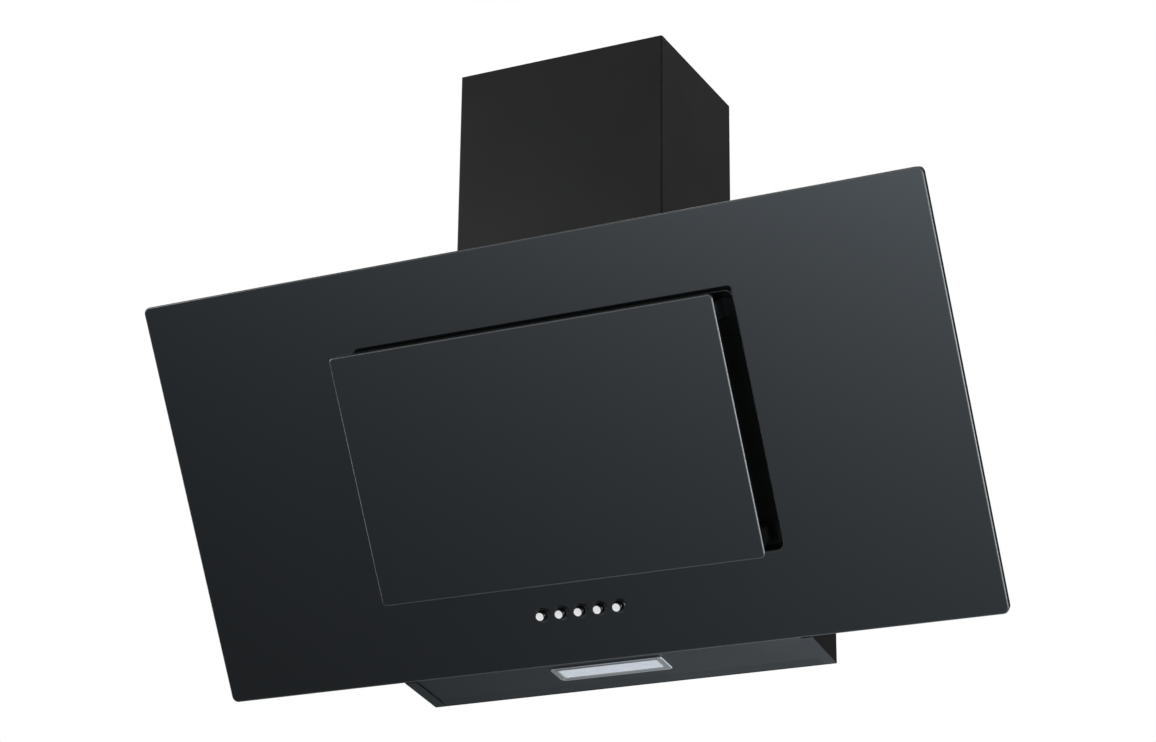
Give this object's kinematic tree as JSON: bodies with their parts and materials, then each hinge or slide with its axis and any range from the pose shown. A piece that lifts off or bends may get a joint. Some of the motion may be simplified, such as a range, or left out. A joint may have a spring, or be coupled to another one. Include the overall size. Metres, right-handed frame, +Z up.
{
  "type": "chimney range hood",
  "caption": "Wall-mounted chimney range hood: leaning black glass front, hinged glass flap over a filter recess, push buttons, underside lamp, fan and telescopic chimney cover.",
  "frame": {"origin": "middle of the body's flat back, in the plane of the wall", "axes": "+X to the right seen from the room, +Y into the wall, +Z up; the glass front faces -Y and leans forward at its top"},
  "size_m": [0.9, 0.3077, 0.6683],
  "materials": {
    "black_glass": "gloss black tempered glass with ground edges",
    "black_paint": "satin black powder coat",
    "zinc_steel": "zinc-plated sheet steel",
    "brushed_bezel": "fine brushed, semi-gloss",
    "aluminium": "bare, layered expanded mesh and folded frame",
    "chrome": "polished",
    "black_plastic": "gloss black moulded",
    "grey_plastic": "matte moulded",
    "frosted_lens": "frosted diffuser",
    "lamp_board": "white printed board with diodes",
    "ferrite": "dark sintered magnet"
  },
  "bodies": {
    "root": {"front_glass": "black_glass", "glass_tray": "black_paint", "body_shell": "black_paint", "bottom_panel": "black_paint", "recess_pan": "black_paint", "chimney_lower": "black_paint", "top_plate": "zinc_steel", "chimney_foot": "zinc_steel", "lamp_bezel": "brushed_bezel", "lamp_housing": "zinc_steel", "motor": "zinc_steel", "damper_pin": "zinc_steel", "capacitor_clip": "zinc_steel", "lamp_lens": "frosted_lens", "lamp_board": "lamp_board", "switch_housing": "grey_plastic", "scroll_case": "grey_plastic", "scroll_cover": "grey_plastic", "outlet_adapter": "black_plastic", "capacitor": "grey_plastic", "control_box": "black_plastic", "control_box_lid": "black_plastic", "cable_gland": "black_plastic", "hinge_bracket_left": "black_paint", "hinge_pin_left": "zinc_steel", "catch_post_left": "black_plastic", "catch_magnet_left": "ferrite", "hinge_bracket_right": "black_paint", "hinge_pin_right": "zinc_steel", "catch_post_right": "black_plastic", "catch_magnet_right": "ferrite", "button_bezel_1": "black_plastic", "button_bezel_2": "black_plastic", "button_bezel_3": "black_plastic", "button_bezel_4": "black_plastic", "button_bezel_5": "black_plastic"},
    "flap": {"flap_glass": "black_glass", "flap_tray": "black_paint", "hinge_arm_left": "black_paint", "hinge_arm_right": "black_paint", "catch_plate_left": "zinc_steel", "catch_plate_right": "zinc_steel"},
    "grease_filter": {"filter_frame": "aluminium", "filter_mesh": "aluminium"},
    "filter_latch": {"filter_latch": "black_plastic"},
    "fan_wheel": {"impeller": "grey_plastic", "impeller_nut": "zinc_steel", "motor_shaft": "zinc_steel"},
    "damper_left": {"damper_flap_left": "grey_plastic"},
    "damper_right": {"damper_flap_right": "grey_plastic"},
    "chimney_top": {"chimney_upper": "black_paint", "chimney_bracket": "zinc_steel"},
    "button_1": {"push_button_1": "chrome"},
    "button_2": {"push_button_2": "chrome"},
    "button_3": {"push_button_3": "chrome"},
    "button_4": {"push_button_4": "chrome"},
    "button_5": {"push_button_5": "chrome"}
  },
  "joints": [
    {"name": "flap_hinge", "type": "hinge", "parent": "root", "child": "flap", "pos_m": [0, -0.26479, 0.11511], "axis": [-1, 0, 0], "range_deg": [0, 60]},
    {"name": "filter_release", "type": "slide", "parent": "root", "child": "grease_filter", "axis": [0, -0.866, -0.5], "range_m": [0, 0.02]},
    {"name": "latch_slide", "type": "slide", "parent": "grease_filter", "child": "filter_latch", "axis": [0, -0.5, 0.866], "range_m": [0, 0.0045], "stiffness_N_per_m": 600, "springref_m": -0.002},
    {"name": "fan_spin", "type": "hinge", "parent": "root", "child": "fan_wheel", "pos_m": [-0.08826, -0.05, 0.0615], "axis": [0, 1, 0], "continuous": true},
    {"name": "damper_left_hinge", "type": "hinge", "parent": "root", "child": "damper_left", "pos_m": [0, -0.096, 0.2513], "axis": [0, 1, 0], "range_deg": [0, 75]},
    {"name": "damper_right_hinge", "type": "hinge", "parent": "root", "child": "damper_right", "pos_m": [0, -0.096, 0.2513], "axis": [0, -1, 0], "range_deg": [0, 75]},
    {"name": "chimney_slide", "type": "slide", "parent": "root", "child": "chimney_top", "axis": [0, 0, 1], "range_m": [0, 0.22]},
    {"name": "button_1_press", "type": "slide", "parent": "root", "child": "button_1", "axis": [0, 0.866, 0.5], "range_m": [0, 0.003], "stiffness_N_per_m": 700, "springref_m": -0.002},
    {"name": "button_2_press", "type": "slide", "parent": "root", "child": "button_2", "axis": [0, 0.866, 0.5], "range_m": [0, 0.003], "stiffness_N_per_m": 700, "springref_m": -0.002},
    {"name": "button_3_press", "type": "slide", "parent": "root", "child": "button_3", "axis": [0, 0.866, 0.5], "range_m": [0, 0.003], "stiffness_N_per_m": 700, "springref_m": -0.002},
    {"name": "button_4_press", "type": "slide", "parent": "root", "child": "button_4", "axis": [0, 0.866, 0.5], "range_m": [0, 0.003], "stiffness_N_per_m": 700, "springref_m": -0.002},
    {"name": "button_5_press", "type": "slide", "parent": "root", "child": "button_5", "axis": [0, 0.866, 0.5], "range_m": [0, 0.003], "stiffness_N_per_m": 700, "springref_m": -0.002}
  ]
}
